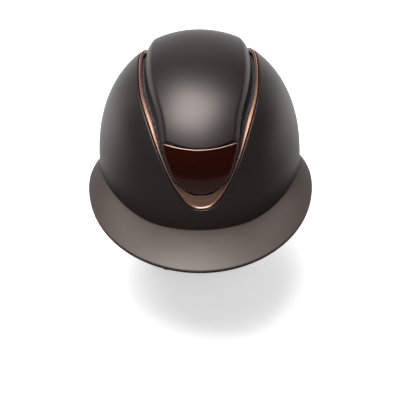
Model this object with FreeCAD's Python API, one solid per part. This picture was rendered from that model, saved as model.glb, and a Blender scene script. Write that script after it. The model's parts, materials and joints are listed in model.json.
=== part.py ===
import FreeCAD
import Part
import math
import os

# Equestrian riding helmet, medium size (57 cm head), in millimetres.
# +Z is up, -Y is the front, +X is the wearer's left.
# The origin is the centre of the head cavity, level with the helmet's widest line.

# Main sizes of the outer shell.
HALF_WIDTH = 105.5
HALF_LENGTH = 129.0
CROWN_HEIGHT = 122.5
LOWER_DEPTH = 130.0
ROUNDNESS = 2.35
SHELL_WALL = 3.0
LAYER_GAP = 0.35

# The layers inside it, as depths below the outer surface.
FOAM_OUT = SHELL_WALL + LAYER_GAP
BAY_FLOOR = 6.6
FOAM_IN = 24.0
PATCH_WALL = 0.8
PAD_OUT = FOAM_IN + 1.6
PAD_WALL = 6.0
FOAM_RIM_LIFT = 2.6

# The raised panel, its carrier and the copper frame round it.
PANEL_RISE = 4.0
PANEL_WALL = 2.8
PLATE_RISE = 3.0
PLATE_WALL = 1.8
CARRIER_TOP = -(PANEL_RISE - PANEL_WALL) + LAYER_GAP
CARRIER_WALL = 5.6
CARRIER_INSET = 1.4
MESH_TOP = CARRIER_TOP + CARRIER_WALL + LAYER_GAP
MESH_WALL = 0.8
LIP_START = 1.0
LIP_WIDTH = 1.3
FLOOR_REACH = 0.84

# The peak.
PEAK_WALL = 2.4
LINING_WALL = 0.9
PEAK_OVERHANG = 47.5
PEAK_PITCH = 5.8
PEAK_SIDE = 9.5
PEAK_MID = 40.0
PEAK_HALF_WIDTH = HALF_WIDTH + PEAK_SIDE
PEAK_PULL = PEAK_PITCH * 1.804
PEAK_REACH = HALF_LENGTH + PEAK_OVERHANG + PEAK_PULL - PEAK_MID
PEAK_BACK = PEAK_HALF_WIDTH
PEAK_TIP_DROP = 21.5
PEAK_SLOPE = 0.1
PEAK_END = 88.5
PEAK_ARCH = 2.0

# The rubber edging on the shell's rim.
EDGING_WALL = 1.0
EDGING_RISE = 0.8

# The harness.
WEB = 1.4
WEB_WIDTH = 19.0
DIVIDER_INSET = 6.5
DIVIDER_X = HALF_WIDTH - FOAM_IN - DIVIDER_INSET
DIVIDER_Y = 10.0
DIVIDER_Z = -70.0
DIVIDER_WALL = 5.0
DIVIDER_LENGTH = 26.0
DIVIDER_WIDTH = 30.0
SWING_Z = -76.0
EYE_RADIUS = 7.5
EYE_WALL = 1.5
RIVET_RADIUS = 2.0
LOOP_Z = -141.0
BUCKLE_FEMALE_FROM = -22.0
BUCKLE_FEMALE_TO = 14.0
BUCKLE_WIDTH = 26.0
BUCKLE_WALL = 9.6
PRONG_REACH = 17.0

# The turning-knob fit system, in its own tilted plane.
# The band is round, so its radius is the foam's inner half-width beside its centre, less a gap
# that grows as the centre is set further back.
BAND_REAR_GAP = 14.5
BAND_TILT = 27.0
BAND_SET_BACK = HALF_LENGTH - HALF_WIDTH - 5.5
BAND_SIDE_GAP = 4.8 + BAND_SET_BACK / 6
BAND_NARROWING = math.sqrt(1 - (BAND_SET_BACK / (HALF_LENGTH - FOAM_IN)) ** 2)
BAND_RADIUS = (HALF_WIDTH - FOAM_IN) * BAND_NARROWING - BAND_SIDE_GAP
BAND_CENTRE_Y = HALF_LENGTH - FOAM_IN - BAND_REAR_GAP - BAND_RADIUS
BAND_CENTRE_Z = -24.0
BAND_WALL = 1.2
BAND_WIDTH = 9.0
PINION_PITCH = 5.0
PINION_TEETH = 10
RACK_REACH = 13.0
HOUSING_ANGLE = 21.0
HOUSING_HALF = 15.0
KNOB_RADIUS = 12.5
KNOB_DEPTH = 6.5

STATIONS = 41

# Outline of the opening in the shell: half-width and angle up from straight ahead.
OPENING = (
    (0, 4.7), (7, 5.1), (12.2, 6.4), (17, 8.7), (21, 11.2), (25.8, 14.6), (35.3, 23.4), (48.3, 41.0), (57.3, 58.6),
    (60.6, 80), (61, 95), (58.6, 115), (51.8, 138), (43.6, 156), (36, 166.5), (24, 173.4), (10, 175.7), (0, 176),
)

# Outline of the raised island, plate and panel together, in the same terms.
ISLAND = (
    (0, 12.6), (9, 12.8), (15.5, 14.3), (25.2, 17.9), (32.3, 24.6), (37.2, 35), (39.6, 44.5),
    (45.7, 57), (51.2, 75), (52, 90), (49.5, 115), (42.8, 138), (35, 154.5), (27.6, 164), (17.5, 169.6), (8, 171.2), (0, 171.5),
)

# Length of one degree along the crown line.
DEGREE = HALF_LENGTH * 2.2 / 129.0
OUTLINE_SCALE = HALF_WIDTH / 105.5


def vec(x, y, z):
    return FreeCAD.Vector(x, y, z)


def sin(angle):
    return math.sin(math.radians(angle))


def cos(angle):
    return math.cos(math.radians(angle))


def smooth(value):
    """Ease from 0 to 1."""
    value = min(max(value, 0.0), 1.0)
    return value * value * (3 - 2 * value)


def dome_height(upper, depth):
    return (CROWN_HEIGHT if upper else LOWER_DEPTH) - depth


def on_dome(direction, depth):
    """Point of the dome, at a depth inside its surface, in the given direction."""
    a = HALF_WIDTH - depth
    b = HALF_LENGTH - depth
    h = dome_height(direction.z >= 0, depth)
    rho = math.hypot(direction.x / a, direction.y / b)
    reach = (rho ** ROUNDNESS + abs(direction.z / h) ** ROUNDNESS) ** (-1 / ROUNDNESS)
    return direction * reach


def skin(x, angle, depth):
    """Point of the dome with this x, this many degrees up from straight ahead."""
    low = 0.0
    high = 260.0
    for _ in range(40):
        mid = (low + high) / 2
        z = mid * sin(angle)
        h = dome_height(z >= 0, depth)
        rho = math.hypot(x / (HALF_WIDTH - depth), mid * cos(angle) / (HALF_LENGTH - depth))
        if rho ** ROUNDNESS + abs(z / h) ** ROUNDNESS < 1:
            low = mid
        else:
            high = mid
    return vec(x, -mid * cos(angle), mid * sin(angle))


def wall(turn, z, depth):
    """Point of the dome at height z, turned from the front towards +X."""
    h = dome_height(z >= 0, depth)
    rho = (1 - abs(z / h) ** ROUNDNESS) ** (1 / ROUNDNESS)
    return vec((HALF_WIDTH - depth) * rho * sin(turn), -(HALF_LENGTH - depth) * rho * cos(turn), z)


def rim_height(turn):
    """Height of the shell's lower edge: level at the front and sides, low at the nape."""
    return -18.0 - 34.0 * smooth((turn - 83.0) / 72.0)


def spread(outline):
    """Evenly spaced stations along an outline, as (x, distance) pairs; it is smooth over both ends."""
    points = [vec(x * OUTLINE_SCALE, angle * DEGREE, 0) for x, angle in outline]
    before = [vec(-point.x, point.y, 0) for point in points[2:0:-1]]
    after = [vec(-point.x, point.y, 0) for point in points[-2:-4:-1]]
    curve = Part.BSplineCurve()
    curve.interpolate(Points=before + points + after)
    part = curve.toShape(curve.parameter(points[0]), curve.parameter(points[-1]))
    stations = part.discretize(Number=STATIONS)
    return [(0.0 if i in (0, STATIONS - 1) else p.x, p.y) for i, p in enumerate(stations)]


def inset(loop, distance):
    """The loop moved towards its inside by a distance."""
    moved = []
    for i, (x, s) in enumerate(loop):
        x0, s0 = loop[i - 1] if i else (-loop[1][0], loop[1][1])
        x1, s1 = loop[i + 1] if i < len(loop) - 1 else (-loop[-2][0], loop[-2][1])
        length = math.hypot(x1 - x0, s1 - s0)
        new_x = x - distance * (s1 - s0) / length
        moved.append((new_x if 0 < i < len(loop) - 1 else 0.0, s + distance * (x1 - x0) / length))
    return moved


def between(first, second, share):
    return [(a[0] + (b[0] - a[0]) * share, a[1] + (b[1] - a[1]) * share) for a, b in zip(first, second)]


def lay(loop, depth):
    """Put a flat loop on the dome."""
    return [skin(x, s / DEGREE, depth) for x, s in loop]


def rim_loop(depth, lift):
    turns = [180.0 * i / (STATIONS - 1) for i in range(STATIONS)]
    points = [wall(turn, rim_height(turn) + lift, depth) for turn in turns]
    points[0].x = 0
    points[-1].x = 0
    return points


def sweep_rows(first, last, depth, count):
    """Rows of dome points from one loop to another."""
    rows = [first]
    for k in range(1, count - 1):
        share = k / (count - 1)
        rows.append([on_dome(a * (1 - share) + b * share, depth) for a, b in zip(first, last)])
    rows.append(last)
    return rows


def through(points):
    """Smooth curve through points, one step of its parameter apart."""
    curve = Part.BSplineCurve()
    curve.interpolate(Points=list(points), Parameters=[float(i) for i in range(len(points))])
    return curve


def surface(rows):
    """Smooth sheet through a grid of points: curves along the rows, then across them."""
    along = [through(row) for row in rows]
    across = [through(poles) for poles in zip(*[curve.getPoles() for curve in along])]
    grid = [list(poles) for poles in zip(*[curve.getPoles() for curve in across])]
    u = across[0]
    v = along[0]
    sheet = Part.BSplineSurface()
    sheet.buildFromPolesMultsKnots(grid, u.getMultiplicities(), v.getMultiplicities(), u.getKnots(),
                                   v.getKnots(), False, False, u.Degree, v.Degree)
    return sheet


def closed(faces):
    """One solid from faces that meet edge to edge."""
    skin_shape = Part.makeCompound(faces)
    skin_shape.sewShape(0.001)
    shells = skin_shape.Shells
    solid = Part.Solid(shells[0])
    if solid.Volume < 0:
        solid.reverse()
    return solid


def ring(bands):
    """Closed ring, symmetric in X. Each band is one row, or several rows of one smooth face."""
    faces = [surface(rows).toShape() for rows in bands if len(rows) > 1]
    for before, after in zip(bands, bands[1:] + bands[:1]):
        faces.append(surface([before[-1], after[0]]).toShape())
    mirrored = [face.mirror(vec(0, 0, 0), vec(1, 0, 0)) for face in faces]
    return closed(faces + mirrored)


def borders(grid):
    """The four border rows of a grid of points."""
    return [grid[0], grid[-1], [row[0] for row in grid], [row[-1] for row in grid]]


def slab(top, bottom):
    """Solid between two grids of points with the same outline."""
    faces = [surface(top).toShape(), surface(bottom).toShape()]
    for upper, lower in zip(borders(top), borders(bottom)):
        faces.append(surface([upper, lower]).toShape())
    return closed(faces)


def mirror_x(shape):
    return shape.mirror(vec(0, 0, 0), vec(1, 0, 0))


def block(x0, x1, y0, y1, z0, z1):
    return Part.makeBox(x1 - x0, y1 - y0, z1 - z0, vec(x0, y0, z0))


def save(name, shape):
    os.makedirs("parts", exist_ok=True)
    shape.exportStep("parts/" + name + ".step")


LOOP_OPEN = spread(OPENING)
LOOP_ISLAND = spread(ISLAND)


# Outer shell: moulded ABS with one long opening from the brow over the crown to the nape.
def make_shell():
    outer = sweep_rows(lay(LOOP_OPEN, 0), rim_loop(0, 0), 0, 8)
    inner = sweep_rows(rim_loop(SHELL_WALL, 0), lay(LOOP_OPEN, SHELL_WALL), SHELL_WALL, 8)
    return ring([outer, inner])


# Trim frame: a copper-coloured moulded loop, a thin lip outside and a sunk floor inside.
def make_frame():
    lip_out = inset(LOOP_OPEN, LIP_START)
    lip_in = inset(LOOP_OPEN, LIP_START + LIP_WIDTH)
    floor_in = between(LOOP_OPEN, LOOP_ISLAND, FLOOR_REACH)
    foot = inset(LOOP_OPEN, LAYER_GAP)
    return ring([
        [lay(lip_out, 0.3)],
        [lay(lip_in, 0.3)],
        [lay(lip_in, 2.4)],
        [lay(floor_in, 3.4)],
        [lay(floor_in, 4.6)],
        [lay(foot, 4.6)],
    ])


# Edging: a rubber U section pushed on the shell's rim.
def make_edging():
    low = -EDGING_WALL
    inside = SHELL_WALL + LAYER_GAP
    return ring([
        [rim_loop(-LAYER_GAP - EDGING_WALL, EDGING_RISE)],
        [rim_loop(-LAYER_GAP - EDGING_WALL, low - LAYER_GAP)],
        [rim_loop(inside + EDGING_WALL, low - LAYER_GAP)],
        [rim_loop(inside + EDGING_WALL, EDGING_RISE)],
        [rim_loop(inside, EDGING_RISE)],
        [rim_loop(inside, -LAYER_GAP)],
        [rim_loop(-LAYER_GAP, -LAYER_GAP)],
        [rim_loop(-LAYER_GAP, EDGING_RISE)],
    ])


# Foam liner: expanded polystyrene, sunk under the channel, with one long vent slot.
def vent_loop(depth):
    middle = 92 * DEGREE
    return lay([(x * 0.34, middle + (s - middle) * 0.5) for x, s in LOOP_ISLAND], depth)


def make_foam():
    step = inset(LOOP_OPEN, -2.0)
    floor = sweep_rows(vent_loop(BAY_FLOOR), lay(step, BAY_FLOOR), BAY_FLOOR, 5)
    outer = sweep_rows(lay(step, FOAM_OUT), rim_loop(FOAM_OUT, FOAM_RIM_LIFT), FOAM_OUT, 7)
    inner = sweep_rows(rim_loop(FOAM_IN, FOAM_RIM_LIFT), vent_loop(FOAM_IN), FOAM_IN, 9)
    return ring([floor, outer, inner])


# Raised pieces between the frame: rows run across the helmet, one behind the other.
def half_width(angle, reduce):
    """Half-width of the island at an angle, less a margin."""
    for (x0, s0), (x1, s1) in zip(LOOP_ISLAND, LOOP_ISLAND[1:]):
        if s0 <= angle * DEGREE <= s1:
            return x0 + (x1 - x0) * (angle * DEGREE - s0) / (s1 - s0) - reduce
    return 0


def raised_grid(start, end, front_bow, rear_bow, reduce, depth, count):
    """Grid over the island from one angle to another; its ends bow by some degrees."""
    columns = 9
    rows = []
    for i in range(count):
        share = i / (count - 1)
        angle = start + (end - start) * share
        width = half_width(angle, reduce)
        row = []
        for j in range(columns):
            u = 2 * j / (columns - 1) - 1
            bow = (1 - u * u) * (front_bow * (1 - smooth(share * 3)) + rear_bow * smooth(share * 3 - 2))
            row.append(skin(u * width, angle + bow, depth))
        rows.append(row)
    return rows


def raised_slab(start, end, front_bow, rear_bow, reduce, top, thick):
    count = max(6, int((end - start) / 6))
    upper = raised_grid(start, end, front_bow, rear_bow, reduce, top, count)
    lower = raised_grid(start, end, front_bow, rear_bow, reduce, top + thick, count)
    return slab(upper, lower)


# Centre panel: moulded ABS, painted matte as the shell.
def make_panel():
    return raised_slab(34.9, 169.0, -3.3, 2.0, 0, -PANEL_RISE, PANEL_WALL)


# Front plate: glossy dark plate on the brow, left bare.
def make_plate():
    return raised_slab(13.9, 34.2, -1.2, -3.3, 0, -PLATE_RISE, PLATE_WALL)


# Carrier: black tray that holds the panel and the plate.
def make_carrier():
    return raised_slab(15.0, 168.0, -1.2, 2.0, CARRIER_INSET, CARRIER_TOP, CARRIER_WALL)


# Vent mesh: perforated strips under the channel, from the frame's floor to below the carrier.
def channel_rows(first, last, top):
    """Stations first to last; negative ones are on the other side."""
    outer = between(LOOP_OPEN, LOOP_ISLAND, FLOOR_REACH - 0.14)
    inner = inset(LOOP_ISLAND, 4.0)
    rows = []
    for i in range(first, last + 1):
        k = abs(i)
        side = -1 if i < 0 else 1
        if k > STATIONS - 1:
            k = 2 * (STATIONS - 1) - k
            side = -side
        row = []
        for share in (0, 0.33, 0.67, 1):
            x = outer[k][0] + (inner[k][0] - outer[k][0]) * share
            s = outer[k][1] + (inner[k][1] - outer[k][1]) * share
            row.append(skin(side * x, s / DEGREE, top))
        rows.append(row)
    return rows


def make_mesh(first, last):
    top = channel_rows(first, last, MESH_TOP)
    bottom = channel_rows(first, last, MESH_TOP + MESH_WALL)
    return slab(top, bottom)


# Peak: stiff moulded visor bonded to the shell, with a dark lining below.
def peak_root_height(turn):
    return -12.0 + 12.0 * smooth((abs(turn) - 22.0) / 50.0)


def peak_grid(drop, margin):
    rows = []
    count = 27
    for i in range(count):
        turn = PEAK_END * (2 * i / (count - 1) - 1)
        root = wall(turn, peak_root_height(turn) - drop, -LAYER_GAP)
        sweep = turn * 111.4 / PEAK_END
        back = PEAK_REACH if abs(sweep) < 90 else PEAK_BACK
        tip_y = -PEAK_MID - (back + margin) * cos(sweep)
        tip_z = -PEAK_TIP_DROP + PEAK_SLOPE * (tip_y + PEAK_MID + PEAK_REACH) - drop
        dip = smooth(cos(sweep))
        tip = vec((PEAK_HALF_WIDTH + margin) * sin(sweep), tip_y + PEAK_PULL * dip, tip_z - PEAK_PITCH * dip)
        row = []
        for j in range(6):
            share = j / 5
            point = root * (1 - share) + tip * share
            point.z += PEAK_ARCH * 4 * share * (1 - share) * cos(turn)
            row.append(point)
        rows.append(row)
    return rows


def make_peak():
    return slab(peak_grid(0, 0), peak_grid(PEAK_WALL, 0))


def make_lining():
    start = PEAK_WALL + 0.5
    return slab(peak_grid(start, 0.5), peak_grid(start + LINING_WALL, 0.5))


# Comfort pads: soft cushions on hook patches against the foam.
def cushion(place, thick):
    """Pad on a patch of wall: place(u, v, depth) gives its points for u and v from -1 to 1."""
    top = []
    bottom = []
    for i in range(11):
        u = 2 * i / 10 - 1
        top_row = []
        bottom_row = []
        for j in range(9):
            v = 2 * j / 8 - 1
            fill = (1 - u ** 8) * (1 - v ** 6)
            draw = 1 - 0.03 * u ** 4 * v ** 4
            top_row.append(place(u * draw, v * draw, PAD_OUT))
            bottom_row.append(place(u * draw, v * draw, PAD_OUT + thick * (0.3 + 0.7 * fill)))
        top.append(top_row)
        bottom.append(bottom_row)
    return slab(top, bottom)


def flat_patch(place, size_u, size_v):
    """Small sheet of hook tape between a pad and the foam."""
    grids = []
    for depth in (FOAM_IN + LAYER_GAP, FOAM_IN + LAYER_GAP + PATCH_WALL):
        rows = [[place(u * size_u, v * size_v, depth) for v in (-1, -0.3, 0.3, 1)] for u in (-1, -0.5, 0, 0.5, 1)]
        grids.append(rows)
    return slab(grids[0], grids[1])


def on_wall(turn, half_turn, z, half_z):
    return lambda u, v, depth: wall(turn + half_turn * u, z + half_z * v, depth)


def on_crown(x, half_x, angle, half_angle):
    return lambda u, v, depth: skin(x + half_x * v, angle + half_angle * u, depth)


def make_pads():
    places = {
        "brow": on_wall(0, 56, 4, 13),
        "side_left": on_wall(97, 17, 24, 14),
        "nape": on_wall(180, 30, -12, 16),
        "crown_left": on_crown(36, 12, 94, 30),
    }
    save("brow_pad", cushion(places["brow"], PAD_WALL))
    save("brow_hook_tape", flat_patch(places["brow"], 0.6, 0.45))
    save("nape_pad", cushion(places["nape"], PAD_WALL))
    save("nape_hook_tape", flat_patch(places["nape"], 0.6, 0.45))
    for name, thick in (("side", PAD_WALL), ("crown", 5.0)):
        pad = cushion(places[name + "_left"], thick)
        tape = flat_patch(places[name + "_left"], 0.6, 0.5)
        for side in ("left", "right"):
            save(name + "_pad_" + side, pad)
            save(name + "_hook_tape_" + side, tape)
            pad = mirror_x(pad)
            tape = mirror_x(tape)


# Webbing: a flat ribbon along a path, given as (centre, width direction, half-width).
def ribbon(path, thick):
    top = []
    bottom = []
    for i, (centre, across, half) in enumerate(path):
        before = path[max(i - 1, 0)][0]
        after = path[min(i + 1, len(path) - 1)][0]
        normal = (after - before).cross(across).normalize() * (thick / 2)
        top.append([centre + across * (half * v) + normal for v in (-1, -0.33, 0.33, 1)])
        bottom.append([centre + across * (half * v) - normal for v in (-1, -0.33, 0.33, 1)])
    return slab(top, bottom)


STRAP_DEPTH = FOAM_IN + 1.5 + WEB / 2
ANCHORS = {"front": (66.0, 6.0), "rear": (120.0, -4.0)}


def strap_path(turn, top_z, end_y):
    """Down the inside of the foam, past the rim, then straight to the divider."""
    points = []
    low = rim_height(turn) + 6
    for i in range(4):
        points.append(wall(turn, top_z + 8 - (top_z + 8 - low) * i / 3, STRAP_DEPTH))
    end = vec(DIVIDER_X, end_y, DIVIDER_Z + DIVIDER_LENGTH / 2 + 0.35)
    start = points[-1]
    for i in range(1, 8):
        share = i / 7
        points.append(start * (1 - share) + end * share)
    path = []
    for i, point in enumerate(points):
        share = smooth(i / (len(points) - 1))
        flat = vec(cos(turn), sin(turn), 0)
        level = (vec(0, 1, 0) * share + flat * (1 - share)).normalize()
        half = WEB_WIDTH / 2 * (1 - 0.25 * share)
        path.append((point, level, half))
    return path


def make_straps():
    for name, end_y in (("front", DIVIDER_Y - 6.6), ("rear", DIVIDER_Y + 7.6)):
        turn, z = ANCHORS[name]
        strap = ribbon(strap_path(turn, z, end_y), WEB)
        head = anchor_rivet(turn, z)
        for side in ("left", "right"):
            save("strap_" + name + "_" + side, strap)
            save("anchor_" + name + "_" + side, head)
            strap = mirror_x(strap)
            head = mirror_x(head)


def anchor_rivet(turn, z):
    """Domed plastic head that pins a strap's end to the foam."""
    base = wall(turn, z + 2, STRAP_DEPTH + WEB / 2 + 0.45)
    inner = wall(turn, z + 2, STRAP_DEPTH + 10)
    axis = (inner - base).normalize()
    head = Part.makeCylinder(7.0, 1.6, base, axis)
    rim = [edge for edge in head.Edges if edge.BoundBox.Center.distanceToPoint(base + axis * 1.6) < 0.01]
    return head.makeFillet(1.1, rim[:1])


# Divider: moulded clip where the two straps meet the chin strap, with a locking lever.
LEVER_X = DIVIDER_X + DIVIDER_WALL / 2 + 2.3
LEVER_TOP = DIVIDER_Z + 8.0
PIN_RADIUS = 1.0
LEVER_BORE = PIN_RADIUS + 0.06
EYE_X = DIVIDER_X - DIVIDER_WALL / 2 - EYE_WALL - 0.4


def make_divider():
    x0 = DIVIDER_X - DIVIDER_WALL / 2
    x1 = DIVIDER_X + DIVIDER_WALL / 2
    half = DIVIDER_WIDTH / 2
    body = block(x0, x1, DIVIDER_Y - half, DIVIDER_Y + half, DIVIDER_Z - 13, DIVIDER_Z + 13)
    corners = [edge for edge in body.Edges if abs(edge.BoundBox.XLength - DIVIDER_WALL) < 0.01]
    body = body.makeFillet(4.0, corners)
    for side in (-1, 1):
        y = DIVIDER_Y + side * 10.6
        lug = block(x1 - 0.5, LEVER_X + 1.9, y - 1.2, y + 1.2, LEVER_TOP - 2.2, LEVER_TOP + 2.2)
        body = body.fuse(lug)
    pin = Part.makeCylinder(PIN_RADIUS, 21.2, vec(LEVER_X, DIVIDER_Y - 10.6, LEVER_TOP), vec(0, 1, 0))
    shank = Part.makeCylinder(RIVET_RADIUS, x0 - EYE_X + EYE_WALL + 1, vec(EYE_X - 1.0, DIVIDER_Y, SWING_Z), vec(1, 0, 0))
    head = Part.makeCylinder(RIVET_RADIUS + 2.4, 1.3, vec(EYE_X - 1.7, DIVIDER_Y, SWING_Z), vec(1, 0, 0))
    return body.fuse([pin, shank, head]).removeSplitter()


def make_lever():
    y0 = DIVIDER_Y - 9.2
    y1 = DIVIDER_Y + 9.2
    barrel = Part.makeCylinder(1.9, y1 - y0, vec(LEVER_X, y0, LEVER_TOP), vec(0, 1, 0))
    plate = block(LEVER_X - 1.1, LEVER_X + 1.1, y0, y1, LEVER_TOP - 17, LEVER_TOP)
    corners = [edge for edge in plate.Edges if edge.BoundBox.ZMax < LEVER_TOP - 16 and edge.BoundBox.XLength > 2]
    plate = plate.makeFillet(4.0, corners)
    bore = Part.makeCylinder(LEVER_BORE, y1 - y0 + 2, vec(LEVER_X, y0 - 1, LEVER_TOP), vec(0, 1, 0))
    return barrel.fuse(plate).cut(bore).removeSplitter()


# Chin strap: two webs that hang from the dividers and meet at the buckle under the chin.
def chin_path(end_x, side):
    """From the swing point down and round to the buckle; side is +1 for the left."""
    top = EYE_X + EYE_WALL / 2
    points = [(top, SWING_Z - 4.5, 5.0), (top, SWING_Z - 9, 7.5), (top, SWING_Z - 14, WEB_WIDTH / 2)]
    points += [(top - 0.4, SWING_Z - 20, WEB_WIDTH / 2), (top - 1.5, SWING_Z - 26, WEB_WIDTH / 2)]
    for i in range(1, 9):
        angle = 90 * i / 8
        x = end_x * side + 12 + (top - 3.5 - end_x * side - 12) * cos(angle) ** 0.8
        z = SWING_Z - 33 - (SWING_Z - 33 - LOOP_Z) * sin(angle) ** 1.1
        points.append((x, z, WEB_WIDTH / 2))
    points.append((end_x * side + 6, LOOP_Z, WEB_WIDTH / 2))
    points.append((end_x * side, LOOP_Z, WEB_WIDTH / 2))
    return [(vec(side * x, DIVIDER_Y, z), vec(0, 1, 0), half) for x, z, half in points]


def chin_web(end_x, side):
    """One web with the eye that its rivet passes through."""
    start = EYE_X if side > 0 else -EYE_X - EYE_WALL
    eye = Part.makeCylinder(EYE_RADIUS, EYE_WALL, vec(start, DIVIDER_Y, SWING_Z), vec(1, 0, 0))
    bore = Part.makeCylinder(RIVET_RADIUS + 0.06, EYE_WALL + 2, vec(start - 1, DIVIDER_Y, SWING_Z), vec(1, 0, 0))
    return eye.fuse(ribbon(chin_path(end_x, side), WEB)).cut(bore)


# Buckle: side-release, the socket on the long strap and the pronged half on the short one.
def make_socket():
    half = BUCKLE_WIDTH / 2
    body = block(BUCKLE_FEMALE_FROM, BUCKLE_FEMALE_TO, DIVIDER_Y - half, DIVIDER_Y + half,
                 LOOP_Z - BUCKLE_WALL / 2, LOOP_Z + BUCKLE_WALL / 2)
    body = body.makeFillet(1.8, body.Edges)
    cavity = block(BUCKLE_FEMALE_FROM - 1, BUCKLE_FEMALE_FROM + PRONG_REACH + 2,
                   DIVIDER_Y - half + 2.2, DIVIDER_Y + half - 2.2, LOOP_Z - 2.6, LOOP_Z + 2.6)
    slot = block(BUCKLE_FEMALE_TO - 7, BUCKLE_FEMALE_TO + 1, DIVIDER_Y - WEB_WIDTH / 2 - 0.5,
                 DIVIDER_Y + WEB_WIDTH / 2 + 0.5, LOOP_Z - WEB / 2 - 0.2, LOOP_Z + WEB / 2 + 0.2)
    windows = block(BUCKLE_FEMALE_FROM + 8, BUCKLE_FEMALE_FROM + 15, DIVIDER_Y - half - 1,
                    DIVIDER_Y + half + 1, LOOP_Z - 2.6, LOOP_Z + 2.6)
    return body.cut(cavity).cut(slot).cut(windows)


def make_prongs():
    face = BUCKLE_FEMALE_FROM - 0.3
    half = BUCKLE_WIDTH / 2
    body = block(face - 20, face, DIVIDER_Y - half, DIVIDER_Y + half, LOOP_Z - 3.6, LOOP_Z + 3.6)
    body = body.makeFillet(1.6, body.Edges)
    slot = block(face - 21, face - 9, DIVIDER_Y - WEB_WIDTH / 2 - 0.5, DIVIDER_Y + WEB_WIDTH / 2 + 0.5,
                 LOOP_Z - WEB / 2 - 0.2, LOOP_Z + WEB / 2 + 0.2)
    body = body.cut(slot)
    for y in (-half + 2.6, -1.6, half - 5.8):
        body = body.fuse(block(face - 2, face + PRONG_REACH, DIVIDER_Y + y, DIVIDER_Y + y + 3.2,
                               LOOP_Z - 2.2, LOOP_Z + 2.2))
    for y in (-half + 2.6, half - 4.0):
        body = body.fuse(block(face + 9, face + 14, DIVIDER_Y + y, DIVIDER_Y + y + 1.4,
                               LOOP_Z - 2.2, LOOP_Z + 2.2))
    return body.removeSplitter()


def web_loop(x0, x1, thick):
    """Flat loop round the horizontal part of the strap."""
    half = WEB_WIDTH / 2
    outer = block(x0, x1, DIVIDER_Y - half - thick - 0.4, DIVIDER_Y + half + thick + 0.4,
                  LOOP_Z - WEB / 2 - thick - 0.3, LOOP_Z + WEB / 2 + thick + 0.3)
    inner = block(x0 - 1, x1 + 1, DIVIDER_Y - half - 0.4, DIVIDER_Y + half + 0.4,
                  LOOP_Z - WEB / 2 - 0.3, LOOP_Z + WEB / 2 + 0.3)
    return outer.cut(inner)


def make_chin_pad():
    """Padded sleeve that lies on top of the strap, against the chin."""
    top = []
    bottom = []
    for i in range(9):
        u = 2 * i / 8 - 1
        top.append([])
        bottom.append([])
        for j in range(7):
            v = 2 * j / 6 - 1
            fill = (1 - u ** 6) * (1 - v ** 6)
            x = -4 + 19 * u
            y = DIVIDER_Y + 14.5 * v
            low = LOOP_Z + BUCKLE_WALL / 2 + 0.35
            top[-1].append(vec(x, y, low + 1.6 + 3.6 * fill))
            bottom[-1].append(vec(x, y, low))
    return slab(top, bottom)


def make_chin():
    save("chin_strap_long", chin_web(BUCKLE_FEMALE_TO - 6.6, 1))
    save("chin_strap_short", chin_web(BUCKLE_FEMALE_FROM - 12.0, -1))
    save("buckle_socket", make_socket())
    save("buckle_prongs", make_prongs())
    save("chin_pad", make_chin_pad())
    save("strap_slider", web_loop(BUCKLE_FEMALE_TO + 0.6, BUCKLE_FEMALE_TO + 4.4, 1.4))


# Fit system: built with its axis on Z and the nape towards +Y, then tilted into place.
def tilt(shape):
    shape = shape.copy()
    shape.rotate(vec(0, 0, 0), vec(1, 0, 0), -BAND_TILT)
    shape.translate(vec(0, BAND_CENTRE_Y, BAND_CENTRE_Z))
    return shape


def arc_block(r0, r1, start, end, z0, z1):
    """Block bent round the axis; angles are from the nape towards +X."""
    face = Part.Face(Part.Wire(Part.makePolygon([
        vec(0, r0, z0), vec(0, r1, z0), vec(0, r1, z1), vec(0, r0, z1), vec(0, r0, z0)])))
    face.rotate(vec(0, 0, 0), vec(0, 0, 1), -start)
    return face.revolve(vec(0, 0, 0), vec(0, 0, 1), start - end)


RACK_STEP = 360.0 / PINION_TEETH * PINION_PITCH / BAND_RADIUS
RACK_Z = PINION_PITCH + 1.15


def make_band(level):
    """Band with a rack: level +1 runs above the pinion, -1 below. The band leaves towards +X."""
    inner = BAND_RADIUS - BAND_WALL / 2
    outer = BAND_RADIUS + BAND_WALL / 2
    reach = math.degrees(RACK_REACH / BAND_RADIUS)
    z0 = RACK_Z if level > 0 else -RACK_Z - 3.0
    rack = arc_block(inner, outer, -reach, HOUSING_ANGLE + 4, z0, z0 + 3.0)
    arm = arc_block(inner, outer, HOUSING_ANGLE + 4, 104, -BAND_WIDTH / 2, BAND_WIDTH / 2)
    low = min(z0, -BAND_WIDTH / 2)
    high = max(z0 + 3.0, BAND_WIDTH / 2)
    knee = arc_block(inner, outer, HOUSING_ANGLE + 2.5, HOUSING_ANGLE + 7.5, low, high)
    band = rack.fuse(knee).fuse(arm)
    offset = 0.5 if level * PINION_TEETH % 2 == 0 else 0.0
    steps = int(reach / RACK_STEP)
    for k in range(-steps, steps + 1):
        centre = (k + offset) * RACK_STEP
        if abs(centre) > reach - 0.8:
            continue
        band = band.fuse(rack_tooth(centre, level, inner, outer))
    return band.removeSplitter()


def rack_tooth(centre, level, inner, outer):
    """Tapered tooth that points at the pinion."""
    points = []
    for half, z in ((0.78, RACK_Z + 0.2), (0.36, RACK_Z - 1.8), (-0.36, RACK_Z - 1.8), (-0.78, RACK_Z + 0.2)):
        points.append(vec(half, inner, level * z))
    wedge = Part.Face(Part.makePolygon(points + points[:1])).extrude(vec(0, outer - inner, 0))
    wedge.rotate(vec(0, 0, 0), vec(0, 0, 1), -centre)
    return wedge


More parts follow.
